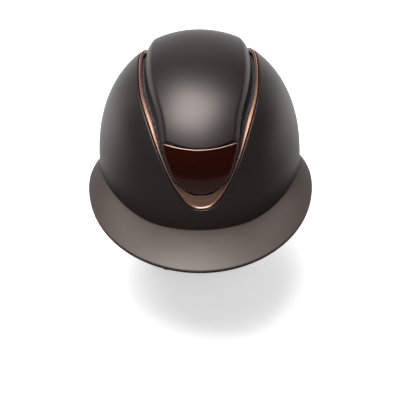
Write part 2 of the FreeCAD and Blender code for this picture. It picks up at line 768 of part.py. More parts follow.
def make_pinion():
    hub = Part.makeCylinder(PINION_PITCH - 1.15, BAND_WALL + 1.0, vec(0, BAND_RADIUS - 1.1, 0), vec(0, 1, 0))
    for k in range(PINION_TEETH):
        points = []
        for half, r in ((0.78, 3.5), (0.36, 5.75), (-0.36, 5.75), (-0.78, 3.5)):
            points.append(vec(half, BAND_RADIUS - 1.1, r))
        tooth = Part.Face(Part.makePolygon(points + points[:1])).extrude(vec(0, BAND_WALL + 1.0, 0))
        tooth.rotate(vec(0, 0, 0), vec(0, 1, 0), 360.0 * k / PINION_TEETH)
        hub = hub.fuse(tooth)
    shaft = Part.makeCylinder(2.0, 5.8, vec(0, BAND_RADIUS + 1.1, 0), vec(0, 1, 0))
    tail = Part.makeCylinder(1.4, 3.0, vec(0, BAND_RADIUS - 4.0, 0), vec(0, 1, 0))
    return hub.fuse(shaft).fuse(tail).removeSplitter()


def make_housing():
    """Tray against the head, with a rail above and below the racks."""
    tray = arc_block(BAND_RADIUS - 4.0, BAND_RADIUS - 1.3, -HOUSING_ANGLE, HOUSING_ANGLE,
                     -HOUSING_HALF, HOUSING_HALF)
    for z in (-HOUSING_HALF, HOUSING_HALF - 3.4):
        tray = tray.fuse(arc_block(BAND_RADIUS - 1.5, BAND_RADIUS + 1.5, -HOUSING_ANGLE, HOUSING_ANGLE, z, z + 3.4))
    hole = Part.makeCylinder(1.46, 8, vec(0, BAND_RADIUS - 7, 0), vec(0, 1, 0))
    return tray.cut(hole).removeSplitter()


def make_cover():
    cover = arc_block(BAND_RADIUS + 1.55, BAND_RADIUS + 4.0, -HOUSING_ANGLE, HOUSING_ANGLE,
                      -HOUSING_HALF, HOUSING_HALF)
    hole = Part.makeCylinder(2.06, 12, vec(0, BAND_RADIUS - 2, 0), vec(0, 1, 0))
    return cover.cut(hole)


def make_knob():
    start = BAND_RADIUS + 4.6
    knob = Part.makeCylinder(KNOB_RADIUS, KNOB_DEPTH, vec(0, start, 0), vec(0, 1, 0))
    rim = [edge for edge in knob.Edges if edge.BoundBox.YMin > start + KNOB_DEPTH - 0.01]
    knob = knob.makeFillet(1.6, rim)
    for k in range(18):
        groove = Part.makeCylinder(0.9, KNOB_DEPTH + 2, vec(0, start - 1, KNOB_RADIUS + 0.2), vec(0, 1, 0))
        groove.rotate(vec(0, 0, 0), vec(0, 1, 0), 20.0 * k)
        knob = knob.cut(groove)
    seat = Part.makeCylinder(2.05, 2.6, vec(0, start - 0.2, 0), vec(0, 1, 0))
    hole = Part.makeCylinder(1.0, KNOB_DEPTH + 2, vec(0, start - 1, 0), vec(0, 1, 0))
    sink = Part.makeCylinder(3.0, 2.0, vec(0, start + KNOB_DEPTH - 1.6, 0), vec(0, 1, 0))
    return knob.cut(seat).cut(hole).cut(sink)


def make_knob_screw():
    start = BAND_RADIUS + 4.6
    shank = Part.makeCylinder(0.95, 2.5, vec(0, start + 2.45, 0), vec(0, 1, 0))
    head = Part.makeCylinder(2.7, 1.3, vec(0, start + KNOB_DEPTH - 1.6, 0), vec(0, 1, 0))
    cross = block(-1.6, 1.6, start + KNOB_DEPTH - 0.9, start + KNOB_DEPTH, -0.35, 0.35)
    other = block(-0.35, 0.35, start + KNOB_DEPTH - 0.9, start + KNOB_DEPTH, -1.6, 1.6)
    return shank.fuse(head).cut(cross).cut(other)


def make_guide():
    """Loop on the temple that a band slides through."""
    outer = arc_block(BAND_RADIUS - 1.9, BAND_RADIUS + 5.2, 84, 95, -BAND_WIDTH / 2 - 2.0, BAND_WIDTH / 2 + 2.0)
    inner = arc_block(BAND_RADIUS - 0.9, BAND_RADIUS + 0.9, 83, 96, -BAND_WIDTH / 2 - 0.4, BAND_WIDTH / 2 + 0.4)
    return outer.cut(inner)


def make_cradle_pad():
    """Soft pad between the tray and the nape."""
    top = []
    bottom = []
    for i in range(9):
        u = 2 * i / 8 - 1
        top.append([])
        bottom.append([])
        for j in range(7):
            v = 2 * j / 6 - 1
            fill = (1 - u ** 6) * (1 - v ** 6)
            for rows, radius in ((top, BAND_RADIUS - 4.35), (bottom, BAND_RADIUS - 6.0 - 2.2 * fill)):
                rows[-1].append(vec(radius * sin(19 * u), radius * cos(19 * u), 13 * v))
    return slab(top, bottom)


def make_hanger():
    """Flexible strip from the tray's upper edge to the foam."""
    points = []
    foot_x = BAND_RADIUS * sin(HOUSING_ANGLE - 0.83)
    foot_y = math.sqrt((BAND_RADIUS - 2.65) ** 2 - foot_x ** 2)
    foot = tilt(Part.Vertex(foot_x, foot_y, HOUSING_HALF + 1.3)).Point
    head = wall(180 - 16, -34, FOAM_IN + LAYER_GAP + 1.3)
    top = wall(180 - 16, -42, FOAM_IN + LAYER_GAP + 1.9)
    for i in range(5):
        share = i / 4
        points.append(foot * (1 - share) + top * share)
    points.append(head)
    across = vec(cos(16), -sin(16), 0)
    path = []
    for i, point in enumerate(points):
        run = (points[min(i + 1, len(points) - 1)] - points[max(i - 1, 0)]).normalize()
        flat = (across - run * across.dot(run)).normalize()
        path.append((point, flat, 4.5))
    return ribbon(path, 1.2)


def make_fit_system():
    left = make_band(1)
    right = mirror_x(make_band(-1))
    save("band_left", tilt(left))
    save("band_right", tilt(right))
    save("dial_pinion", tilt(make_pinion()))
    save("cradle_housing", tilt(make_housing()))
    save("cradle_cover", tilt(make_cover()))
    save("fit_dial", tilt(make_knob()))
    save("dial_screw", tilt(make_knob_screw()))
    save("cradle_pad", tilt(make_cradle_pad()))
    guide = tilt(make_guide())
    hanger = make_hanger()
    for side in ("left", "right"):
        save("band_guide_" + side, guide)
        save("cradle_hanger_" + side, hanger)
        guide = mirror_x(guide)
        hanger = mirror_x(hanger)


def main_pieces():
    last = STATIONS - 1
    return {
        "outer_shell": make_shell,
        "trim_frame": make_frame,
        "shell_edging": make_edging,
        "foam_liner": make_foam,
        "centre_panel": make_panel,
        "front_plate": make_plate,
        "panel_carrier": make_carrier,
        "intake_mesh": lambda: make_mesh(-2, 2),
        "channel_mesh_left": lambda: make_mesh(3, last - 3),
        "channel_mesh_right": lambda: mirror_x(make_mesh(3, last - 3)),
        "rear_vent_mesh": lambda: make_mesh(last - 2, last + 2),
        "peak": make_peak,
        "peak_lining": make_lining,
    }


for piece, make in main_pieces().items():
    save(piece, make())
make_pads()
make_straps()
divider = make_divider()
lever = make_lever()
for hand in ("left", "right"):
    save("divider_" + hand, divider)
    save("divider_lever_" + hand, lever)
    divider = mirror_x(divider)
    lever = mirror_x(lever)
make_chin()
make_fit_system()
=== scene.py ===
import json
import math
import bmesh
import bpy
import numpy as np
from mathutils import Matrix, Vector


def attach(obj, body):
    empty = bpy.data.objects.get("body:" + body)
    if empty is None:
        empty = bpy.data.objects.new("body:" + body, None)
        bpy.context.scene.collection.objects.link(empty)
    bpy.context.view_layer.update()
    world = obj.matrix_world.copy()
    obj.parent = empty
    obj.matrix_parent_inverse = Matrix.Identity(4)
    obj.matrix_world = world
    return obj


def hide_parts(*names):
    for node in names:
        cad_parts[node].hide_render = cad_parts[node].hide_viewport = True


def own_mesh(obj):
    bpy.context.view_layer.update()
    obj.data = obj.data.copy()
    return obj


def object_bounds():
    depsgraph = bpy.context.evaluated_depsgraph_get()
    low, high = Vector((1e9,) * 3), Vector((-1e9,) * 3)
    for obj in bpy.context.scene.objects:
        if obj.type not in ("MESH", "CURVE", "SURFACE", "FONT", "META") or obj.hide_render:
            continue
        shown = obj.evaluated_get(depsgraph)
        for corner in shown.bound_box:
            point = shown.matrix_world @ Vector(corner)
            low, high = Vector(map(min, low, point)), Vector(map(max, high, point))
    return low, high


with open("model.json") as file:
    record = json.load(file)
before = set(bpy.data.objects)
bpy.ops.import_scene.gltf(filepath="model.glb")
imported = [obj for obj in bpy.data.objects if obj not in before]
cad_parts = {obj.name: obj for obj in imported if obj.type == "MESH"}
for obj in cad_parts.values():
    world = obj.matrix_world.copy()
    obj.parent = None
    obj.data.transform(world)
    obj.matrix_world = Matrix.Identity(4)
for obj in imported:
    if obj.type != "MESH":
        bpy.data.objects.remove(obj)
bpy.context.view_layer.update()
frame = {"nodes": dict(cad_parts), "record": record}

# Camera: a long lens about 1.3 m away, 29 degrees above level and square to the brow.
# The helmet sits a little above the middle of the picture and leans one degree to the left.
camera_distance = 1.3
camera_height, camera_turn, camera_lean = np.radians([29.0, -0.4, 1.0])
picture_width, focal_pixels = 416, 1225.9
centre_pixels = (-8.3, 52.8)
back = Vector((math.sin(camera_turn) * math.cos(camera_height),
               -math.cos(camera_turn) * math.cos(camera_height), math.sin(camera_height)))
right = Vector((0, 0, 1)).cross(back).normalized()
up = back.cross(right)
lean_right = right * math.cos(camera_lean) - up * math.sin(camera_lean)
lean_up = right * math.sin(camera_lean) + up * math.cos(camera_lean)
facing = Matrix((lean_right, lean_up, back)).transposed()
aim = Vector((*centre_pixels, -focal_pixels)).rotation_difference(Vector((0, 0, -1))).to_matrix()
camera = bpy.data.objects.new("camera", bpy.data.cameras.new("camera"))
camera.data.sensor_width = 36
camera.data.lens = focal_pixels / picture_width * camera.data.sensor_width
camera.data.clip_start = 0.05
camera.matrix_world = (facing @ aim).to_4x4()
camera.location = back * camera_distance
bpy.context.scene.collection.objects.link(camera)
bpy.context.scene.camera = camera

# Studio: a plain pale floor under the chin strap, a white surround and three soft lamps, one
# large one above the brow and a faint one at each side. Gloss shows the white behind the helmet.
bpy.context.scene.view_settings.view_transform = "Standard"


class Val:
    """A shader socket that takes part in sums; each operator adds the Math node it stands for."""

    def __init__(self, nodes, socket):
        self.nodes = nodes
        self.socket = socket

    def maths(self, operation, *others):
        return self.nodes.node("ShaderNodeMath", {"operation": operation}, self, *others)

    def __add__(self, other):
        return self.maths("ADD", other)

    def __sub__(self, other):
        return self.maths("SUBTRACT", other)

    def __rsub__(self, other):
        return self.nodes.node("ShaderNodeMath", {"operation": "SUBTRACT"}, other, self)

    def __mul__(self, other):
        return self.maths("MULTIPLY", other)

    def __lt__(self, other):
        return self.maths("LESS_THAN", other)

    __radd__ = __add__
    __rmul__ = __mul__


class Nodes:
    """A node tree; node() adds any node from its type, its settings and its inputs."""

    def __init__(self, tree, shader):
        self.tree = tree
        self.shader = tree.nodes[shader]

    def put(self, socket, value):
        if isinstance(value, Val):
            self.tree.links.new(value.socket, socket)
        elif socket.type == "RGBA":
            socket.default_value = (*value, 1)
        else:
            socket.default_value = value

    def node(self, kind, settings=None, *inputs, out=0, **named):
        made = self.tree.nodes.new(kind)
        for key, value in (settings or {}).items():
            setattr(made, key, value)
        for socket, value in zip(made.inputs, inputs):
            self.put(socket, value)
        for key, value in named.items():
            self.put(made.inputs[key.replace("_", " ")], value)
        return Val(self, made.outputs[out])

    def set(self, **sockets):
        for key, value in sockets.items():
            self.put(self.shader.inputs[key.replace("_", " ")], value)

    def shown(self, behind, fill):
        """Strength of the white surround: full to the camera and through glass, as much as lies behind
        the helmet in gloss, and a plain fill for soft light."""
        strength = behind * self.node("ShaderNodeLightPath", out="Is Glossy Ray")
        for ray, share in (("Is Diffuse Ray", fill), ("Is Camera Ray", 1), ("Is Transmission Ray", 1)):
            strength = strength.maths("MAXIMUM", self.node("ShaderNodeLightPath", out=ray) * share)
        return strength


class Finish(Nodes):
    """A node material round its Principled shader."""

    def __init__(self, name, **constants):
        self.material = bpy.data.materials.new(name)
        self.material.use_nodes = True
        super().__init__(self.material.node_tree, "Principled BSDF")
        self.set(**constants)

    def place(self):
        return self.node("ShaderNodeTexCoord", out="Object")

    def noise(self, spot, scale, detail=3.0, roughness=0.5):
        return self.node("ShaderNodeTexNoise", None, Vector=spot, Scale=scale, Detail=detail,
                         Roughness=roughness)

    def mix(self, share, first, second):
        """Mix two colours by a share."""
        made = self.tree.nodes.new("ShaderNodeMix")
        made.data_type = "RGBA"
        self.put(made.inputs[0], share)
        self.put(made.inputs[6], first)
        self.put(made.inputs[7], second)
        return Val(self, made.outputs[2])

    def bump(self, height, strength, distance):
        relief = self.node("ShaderNodeBump", None, Strength=strength, Distance=distance, Height=height)
        self.put(self.shader.inputs["Normal"], relief)


def linear(red, green, blue):
    """Scene-linear colour of a display colour given from 0 to 255."""
    values = np.array([red, green, blue]) / 255
    return tuple(np.where(values > 0.04045, ((values + 0.055) / 1.055) ** 2.4, values / 12.92))


floor_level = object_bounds()[0][2] - 0.0004
floor_half = 40
floor_corners = [(x * floor_half, y * floor_half, floor_level)
                 for x, y in ((-1, -1), (1, -1), (1, 1), (-1, 1))]
floor_mesh = bpy.data.meshes.new("floor")
floor_mesh.from_pydata(floor_corners, [], [(0, 1, 2, 3)])
floor = bpy.data.objects.new("floor", floor_mesh)
bpy.context.scene.collection.objects.link(floor)
floor_paint = Finish("floor_paint", Roughness=0.9, Specular_IOR_Level=0.0)
floor_spot = floor_paint.place()
floor_depth = floor_paint.node("ShaderNodeSeparateXYZ", None, floor_spot, out="Y")
floor_back = floor_paint.node("ShaderNodeMapRange", None, floor_depth, 0.0, 0.6, 0.06, 1.0)
floor_seen = floor_paint.shown(floor_back, 0.8)
floor_far = floor_paint.node("ShaderNodeVectorMath", {"operation": "LENGTH"}, floor_spot, out="Value")
floor_glow = floor_paint.node("ShaderNodeMapRange", None, floor_far, 0.9, 2.6, 0.5, 1.0)
floor_paint.set(Base_Color=floor_paint.mix(floor_seen, (0.07, 0.07, 0.07), (0.8, 0.8, 0.8)))
floor_paint.set(Emission_Color=(1, 1, 1), Emission_Strength=floor_seen * floor_glow)
floor_paint.set(Alpha=1 - floor_paint.node("ShaderNodeNewGeometry", out="Backfacing"))
floor_mesh.materials.append(floor_paint.material)

world = bpy.data.worlds.new("surround")
bpy.context.scene.world = world
world.use_nodes = True
sky = Nodes(world.node_tree, "Background")
sky_way = sky.node("ShaderNodeTexCoord", out="Generated")
sky_back = sky.node("ShaderNodeSeparateXYZ", None, sky_way, out="Y")
sky_up = sky.node("ShaderNodeSeparateXYZ", None, sky_way, out="Z")
backdrop = sky.node("ShaderNodeMapRange", None, sky_back - sky_up * 0.6, 0.35, 0.95)
sky.set(Color=(1, 1, 1), Strength=sky.shown(backdrop, 0.45))


def lamp(name, place, aim_at, width, height, watts):
    """Rectangular soft lamp at a place, turned to a point."""
    data = bpy.data.lights.new(name, "AREA")
    data.shape = "RECTANGLE"
    data.size = width
    data.size_y = height
    data.energy = watts
    made = bpy.data.objects.new(name, data)
    made.location = place
    made.rotation_euler = (Vector(aim_at) - Vector(place)).to_track_quat("-Z", "Y").to_euler()
    bpy.context.scene.collection.objects.link(made)


lamp("top_lamp", (-0.16, -0.36, 1.2), (0, -0.05, 0.02), 0.95, 1.0, 31)
lamp("left_lamp", (-1.25, 0.8, 0.3), (0, 0, 0.03), 0.3, 0.8, 0.8)
lamp("right_lamp", (1.25, 0.9, 0.3), (0, 0, 0.03), 0.3, 0.8, 0.5)

# Outer shell: one injection-moulded ABS dome with a long opening from brow to nape,
# painted in a soft matte brown. Its edges are rounded over and catch a fine light line.
# An outline is given as (mm from the middle, degrees up from straight ahead).
half_width, half_length, crown_height, lower_depth, roundness = 105.5, 129.0, 122.5, 130.0, 2.35
shell_wall = 3.0
degree = 2.2
columns = 560
opening = [(0, 4.7), (7, 5.1), (12.2, 6.4), (17, 8.7), (21, 11.2), (25.8, 14.6), (35.3, 23.4),
           (48.3, 41), (57.3, 58.6), (60.6, 80), (61, 95), (58.6, 115), (51.8, 138), (43.6, 156),
           (36, 166.5), (24, 173.4), (10, 175.7), (0, 176)]
island = [(0, 12.6), (9, 12.8), (15.5, 14.3), (25.2, 17.9), (32.3, 24.6), (37.2, 35), (39.6, 44.5),
          (45.7, 57), (51.2, 75), (52, 90), (49.5, 115), (42.8, 138), (35, 154.5), (27.6, 164),
          (17.5, 169.6), (8, 171.2), (0, 171.5)]


def smooth(value):
    """Ease from 0 to 1: 3t^2 - 2t^3."""
    value = np.clip(value, 0, 1)
    return value * value * (3 - 2 * value)


def on_dome(direction, depth):
    """Point of the dome in each direction: rho^n + |z/h|^n = 1, with rho = hypot(x/a, y/b)."""
    x, y, z = np.moveaxis(direction, -1, 0)
    h = np.where(z >= 0, crown_height, lower_depth) - depth
    rho = np.hypot(x / (half_width - depth), y / (half_length - depth))
    reach = (rho ** roundness + np.abs(z / h) ** roundness) ** (-1 / roundness)
    return direction * reach[..., None]


def skin(x, angle, depth):
    """Point of the dome with this x, at an angle up from straight ahead, by halving the distance."""
    x, angle, depth = np.broadcast_arrays(x, np.radians(angle), np.asarray(depth, float))
    low = np.zeros(x.shape)
    high = np.full(x.shape, 260.0)
    h = np.where(np.sin(angle) >= 0, crown_height, lower_depth) - depth
    for _ in range(34):
        middle = (low + high) / 2
        rho = np.hypot(x / (half_width - depth), middle * np.cos(angle) / (half_length - depth))
        inside = rho ** roundness + np.abs(middle * np.sin(angle) / h) ** roundness < 1
        low = np.where(inside, middle, low)
        high = np.where(inside, high, middle)
    return np.stack([x, -middle * np.cos(angle), middle * np.sin(angle)], -1)


def wall(turn, z, depth):
    """Point of the dome at height z, turned from the front towards +X."""
    turn, z, depth = np.broadcast_arrays(np.radians(turn), np.asarray(z, float), np.asarray(depth, float))
    h = np.where(z >= 0, crown_height, lower_depth) - depth
    rho = (1 - np.abs(z / h) ** roundness) ** (1 / roundness)
    x = (half_width - depth) * rho * np.sin(turn)
    y = -(half_length - depth) * rho * np.cos(turn)
    return np.stack([x, y, z], -1)


def closed_curve(outline, count):
    """Periodic cubic spline through an outline and its mirror image, at even steps from the front."""
    points = np.array(outline, float) * (1, degree)
    points = np.vstack([points, points[-2:0:-1] * (-1, 1)])
    n = len(points)
    step = np.linalg.norm(np.roll(points, -1, 0) - points, axis=1)
    before = np.roll(step, 1)
    rows = np.arange(n)
    system = np.zeros((n, n))
    system[rows, rows] = 2 * (step + before)
    system[rows, (rows - 1) % n] += before
    system[rows, (rows + 1) % n] += step
    slope = (np.roll(points, -1, 0) - points) / step[:, None]
    second = np.linalg.solve(system, 6 * (slope - np.roll(slope, 1, 0)))
    t = np.linspace(0, 1, 60, endpoint=False)[None, :, None]
    h = step[:, None, None]
    p0, p1 = points[:, None], np.roll(points, -1, 0)[:, None]
    m0, m1 = second[:, None], np.roll(second, -1, 0)[:, None]
    bend = h * h / 6 * (((1 - t) ** 3 - (1 - t)) * m0 + (t ** 3 - t) * m1)
    fine = (p0 * (1 - t) + p1 * t + bend).reshape(-1, 2)
    fine = np.vstack([fine, fine[:1]])
    run = np.concatenate([[0], np.cumsum(np.linalg.norm(np.diff(fine, axis=0), axis=1))])
    even = np.linspace(0, run[-1], count, endpoint=False)
    return np.stack([np.interp(even, run, fine[:, 0]), np.interp(even, run, fine[:, 1])], -1)


def inset(loop, distance):
    """A closed loop moved towards its inside."""
    ahead = np.roll(loop, -1, 0) - np.roll(loop, 1, 0)
    ahead /= np.linalg.norm(ahead, axis=1)[:, None]
    return loop + np.stack([-ahead[:, 1], ahead[:, 0]], -1) * np.reshape(distance, (-1, 1))


def lay(loop, depth):
    return skin(loop[:, 0], loop[:, 1] / degree, depth)


opening_loop = closed_curve(opening, columns)
island_loop = closed_curve(island, columns)
around = np.arange(columns) / columns * 360
half_turn = np.where(around > 180, 360 - around, around)
rim_front, rim_fall = -18.0, 34.0
rim_bend_start, rim_bend_length = 83.0, 72.0


def rim_height(turn):
    """Height of the shell's lower edge: level at the front, easing down towards the nape."""
    return rim_front - rim_fall * smooth((turn - rim_bend_start) / rim_bend_length)


def rim(depth, lift):
    return wall(around, rim_height(half_turn) + lift, depth)


def sweep(first, last, depth, shares):
    """Rows of dome points from one loop to another at the given shares."""
    shares = np.asarray(shares)[:, None, None]
    return on_dome(first * (1 - shares) + last * shares, depth)


def tube(name, rows, joined=False, flat=None, pinched=False):
    """Piece from closed loops set one after another, in millimetres. joined: the last loop meets the
    first. pinched: each end loop is thin and shuts on itself. Otherwise each end closes on its middle."""
    n, m = rows.shape[:2]
    i = np.arange(n if joined else n - 1)[:, None]
    j = np.arange(m)[None]
    below, beside = (i + 1) % n, (j + 1) % m
    faces = np.stack([i * m + j, i * m + beside, below * m + beside, below * m + j], -1).reshape(-1, 4)
    verts = rows.reshape(-1, 3)
    side = np.concatenate([rows, rows[:, :1]], 1)
    across = np.cumsum(np.linalg.norm(np.diff(side, axis=1), axis=2), 1)
    across = np.concatenate([np.zeros((n, 1)), across], 1)
    long = np.concatenate([rows, rows[:1]])
    down = np.concatenate([np.zeros((1, m)), np.cumsum(np.linalg.norm(np.diff(long, axis=0), axis=2), 0)])
    down = np.concatenate([down, down[:, :1]], 1)
    across = np.concatenate([across, across[:1]])
    if flat is not None:
        across = np.pad(flat[..., 0], ((0, 1), (0, 1)), "wrap")
        down = np.pad(flat[..., 1], ((0, 1), (0, 1)), "wrap")
    uv = np.stack([np.stack([grid[i, j], grid[i, j + 1], grid[i + 1, j + 1], grid[i + 1, j]], -1)
                   for grid in (across, down)], -1).reshape(-1, 2)
    p, q, r, s = (verts[faces[:, k]] for k in range(4))
    volume = (p * (np.cross(q, r) + np.cross(r, s))).sum()
    faces = faces.tolist()
    if pinched:
        last = (n - 1) * m
        for k in range(m // 2 - 1):
            faces.append([k, k + 1, m - 2 - k, m - 1 - k])
            faces.append([last + m - 1 - k, last + m - 2 - k, last + k + 1, last + k])
        uv = np.vstack([uv, np.zeros((8 * (m // 2 - 1), 2))])
    elif not joined:
        verts = np.vstack([verts, rows[0].mean(0), rows[-1].mean(0)])
        last = (n - 1) * m
        faces += [[n * m, (k + 1) % m, k] for k in range(m)]
        faces += [[n * m + 1, last + k, last + (k + 1) % m] for k in range(m)]
        uv = np.vstack([uv, np.zeros((6 * m, 2))])
    mesh = bpy.data.meshes.new(name)
    mesh.from_pydata((verts / 1000).tolist(), [], faces)
    layer = mesh.uv_layers.new(name="UVMap")
    layer.data.foreach_set("uv", (uv / 1000).astype(np.float32).ravel())
    shaper = bmesh.new()
    shaper.from_mesh(mesh)
    if volume < 0:
        bmesh.ops.reverse_faces(shaper, faces=shaper.faces)
    bmesh.ops.remove_doubles(shaper, verts=shaper.verts, dist=2e-6)
    shaper.to_mesh(mesh)
    shaper.free()
    mesh.shade_smooth()
    made = bpy.data.objects.new(name, mesh)
    bpy.context.scene.collection.objects.link(made)
    return made


def dress(piece, finish, slot, body, *nodes):
    """Give a piece its finish, its body and the CAD nodes it stands for. slot is not used."""
    piece.data.materials.clear()
    piece.data.materials.append(finish.material)
    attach(piece, body)
    if nodes:
        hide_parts(*nodes)


def quarter(radius, steps=5):
    """Rounded corner as (inset left, drop): from the wall's start, zero inset, to the flat, zero drop."""
    theta = np.linspace(np.pi / 2, 0, steps)
    return radius * (1 - np.sin(theta)), radius * (1 - np.cos(theta))


def matte_paint(name, colour, rough, shine):
    """Soft-touch paint: a very fine grain, slow cloudy changes and a soft gloss."""
    finish = Finish(name, Specular_IOR_Level=shine, Specular_Tint=(1.0, 0.91, 0.87))
    spot = finish.place()
    grain = finish.noise(spot, 2600, 2)
    cloud = finish.noise(spot, 14, 3)
    pale = tuple(min(1, c * 1.14) for c in colour)
    deep = tuple(c * 0.88 for c in colour)
    finish.set(Base_Color=finish.mix(cloud * 0.7 + grain * 0.3, deep, pale),
               Roughness=cloud * 0.05 + grain * 0.05 + (rough - 0.05))
    finish.bump(grain, 0.14, 0.00012)
    return finish


brown_paint = matte_paint("brown_soft_paint", linear(22, 16, 14), 0.44, 0.72)
edge_inset, edge_drop = quarter(1.1)
rim_inset, rim_drop = quarter(1.2)
shell_rows = [lay(opening_loop, shell_wall)[None], lay(opening_loop, 2.0)[None]]
shell_rows += [lay(inset(opening_loop, -e), d)[None] for e, d in zip(edge_inset, edge_drop)]
shell_rows += [lay(inset(opening_loop, -1.6), 0)[None]]
shell_start = lay(inset(opening_loop, -2.2), 0)
shell_rows += [sweep(shell_start, rim(0, 2.0), 0, np.linspace(0, 1, 70))]
shell_rows += [rim(d, e)[None] for e, d in zip(rim_inset[::-1], rim_drop[::-1])]
shell_rows += [rim(shell_wall - d, e)[None] for e, d in zip(rim_inset, rim_drop)]
inner_shares = np.linspace(0, 0.97, 24)
shell_rows += [sweep(rim(shell_wall, 2.0), lay(opening_loop, shell_wall), shell_wall, inner_shares)]
outer_shell = tube("shell_dome", np.concatenate(shell_rows), joined=True)
dress(outer_shell, brown_paint, "matte_brown", "helmet", "outer_shell")

# Rim edging: an extruded rubber U, pushed on the shell's lower edge all round and glued,
# with a rounded nose below and one lip on each face.
edging_rubber = Finish("edging_rubber", Base_Color=linear(26, 24, 24), Roughness=0.62)
edging_spot = edging_rubber.place()
edging_rubber.bump(edging_rubber.noise(edging_spot, 900, 3), 0.2, 0.0002)
edging_nose = np.linspace(0, np.pi, 13)
edging_middle, edging_half = shell_wall / 2, shell_wall / 2 + 1.35
edging_rows = [rim(edging_middle - edging_half, 0.8)[None]]
edging_rows += [rim(edging_middle - edging_half * np.cos(a), 0.2 - 1.55 * np.sin(a))[None]
                for a in edging_nose]
edging_rows += [rim(edging_middle + edging_half, 0.8)[None], rim(shell_wall + 0.35, 0.8)[None]]
edging_rows += [rim(shell_wall + 0.35, -0.35)[None], rim(-0.35, -0.35)[None], rim(-0.35, 0.8)[None]]
edging = tube("rim_edging", np.concatenate(edging_rows), joined=True)
dress(edging, edging_rubber, "lining", "helmet", "shell_edging")

# Trim frame: a moulded loop painted satin copper. A thin lip stands beside the shell's edge,
# and its floor sinks to the vent slot; at the brow the floor widens into a scoop.
copper = Finish("satin_copper", Metallic=0.9, Specular_IOR_Level=0.5)
copper_spot = copper.place()
copper_flake = copper.noise(copper_spot, 3200, 2)
copper.set(Base_Color=copper.mix(copper_flake, linear(172, 131, 112), linear(202, 163, 145)),
           Roughness=copper_flake * 0.08 + 0.34)
copper.bump(copper_flake, 0.05, 0.0001)
channel_gap = np.linalg.norm(opening_loop - island_loop, axis=1)
front_blend = smooth((half_turn - 8) / 20)
floor_share = 0.86 * (1 - front_blend) + 0.38 * front_blend


def channel(share, depth):
    """Loop part of the way from the shell's opening to the raised island."""
    share = np.reshape(share, (-1, 1))
    return lay(opening_loop * (1 - share) + island_loop * share, depth)


lip_start, lip_width = 1.0, 1.25
lip_in = (lip_start + lip_width) / channel_gap
frame_rows = [lay(inset(opening_loop, 0.35), 4.4)[None], lay(inset(opening_loop, 0.8), 1.4)[None]]
for angle in np.linspace(0, np.pi, 9):
    frame_rows.append(lay(inset(opening_loop, lip_start + lip_width / 2 * (1 - np.cos(angle))),
                          0.85 - 0.6 * np.sin(angle))[None])
for share in np.concatenate([np.linspace(0.06, 0.8, 11), np.linspace(0.83, 1, 9)]):
    ribbon = 1.2 + 2.1 * np.sin(np.pi * min(share, 0.6)) - 0.9 * float(smooth((share - 0.82) / 0.14))
    ramp = 1.1 + 1.9 * np.sin(np.pi * min(share * 0.8, 0.5)) - 1.9 * float(smooth((share - 0.55) / 0.4))
    dip = ribbon * front_blend + ramp * (1 - front_blend)
    frame_rows.append(channel(lip_in + (floor_share - lip_in) * share, dip)[None])
frame_rows.append(channel(floor_share + 0.01, 3.0)[None])
frame_rows.append(channel(floor_share, 4.4)[None])
trim = tube("copper_trim", np.concatenate(frame_rows), joined=True)
dress(trim, copper, "copper", "helmet", "trim_frame")


def rounded_ends(start, end, count, radius):
    """Places along a piece and its fullness there: a quarter circle at each end, full between."""
    theta = np.linspace(0, np.pi / 2, 7)
    first = start + radius * (1 - np.cos(theta))
    last = end - radius * (1 - np.cos(theta[::-1]))
    inner = np.linspace(start + radius * 1.3, end - radius * 1.3, count)
    full = np.concatenate([np.sin(theta), np.ones(count), np.sin(theta[::-1])])
    return np.concatenate([first, inner, last]), full


def section(profile, count):
    """Closed cross-section as (side, margin, depth), symmetric, from one side's profile: the top runs
    across to the profile's first point, down the profile, and back below to its last point."""
    edge = np.array([(1, margin, depth) for margin, depth in profile])
    inner = np.linspace(-1, 1, count)[1:-1]
    over = np.stack([inner, np.full(count - 2, edge[0, 1]), np.full(count - 2, edge[0, 2])], -1)
    under = np.stack([inner[::-1], np.full(count - 2, edge[-1, 1]), np.full(count - 2, edge[-1, 2])], -1)
    return np.concatenate([over, edge, under, edge[::-1] * (-1, 1, 1)])


def island_half(distance):
    """Half-width of the raised island at a distance along the crown line."""
    half = island_loop[:columns // 2 + 1]
    return np.interp(distance, half[:, 1], half[:, 0])


def raised(along, side, margin, depth, bow):
    """Point over the island: along the crown line, to one side, with the ends bowed."""
    width = np.maximum(island_half(along), 0.1)
    x = side * (width - margin)
    return skin(x, along / degree + bow(along, side), depth)


# Centre panel: moulded ABS in the shell's matte paint, standing 4 mm proud of it. Its sides
# slope out to the channel; screws from inside hold it on the carrier.
panel_start, panel_end = 34.6 * degree, 169.3 * degree


def panel_bow(along, side):
    share = (along - panel_start) / (panel_end - panel_start)
    return (1 - side * side) * (-3.3 * (1 - smooth(share * 3)) + 2.0 * smooth(share * 3 - 2))


panel_along, panel_full = rounded_ends(panel_start, panel_end, 150, 1.3)
panel_section = section([(6.4, -4.0), (5.6, -3.98), (4.8, -3.85), (4.0, -3.55), (3.2, -3.05),
                         (2.3, -2.35), (1.3, -1.5), (0.4, -0.7), (-0.1, -0.2), (-0.2, 0.2),
                         (0.3, 0.5)], 61)
panel_middle = -1.8
panel_depth = panel_middle + (panel_section[:, 2] - panel_middle) * panel_full[:, None]
panel_rows = raised(panel_along[:, None], panel_section[:, 0], panel_section[:, 1], panel_depth, panel_bow)
panel = tube("crown_panel", panel_rows, pinched=True)
dress(panel, brown_paint, "matte_brown", "helmet", "centre_panel")

# Front plate: high-gloss dark oxblood moulding between the panel and the scoop, left bare.
# A narrow bevel runs down each side and a fine copper bead finishes its top edge.
gloss = Finish("oxblood_gloss", Base_Color=linear(30, 7, 4), Roughness=0.16, Coat_Weight=0.8,
               Coat_Roughness=0.04)
plate_start, plate_end = 13.4 * degree, 34.25 * degree


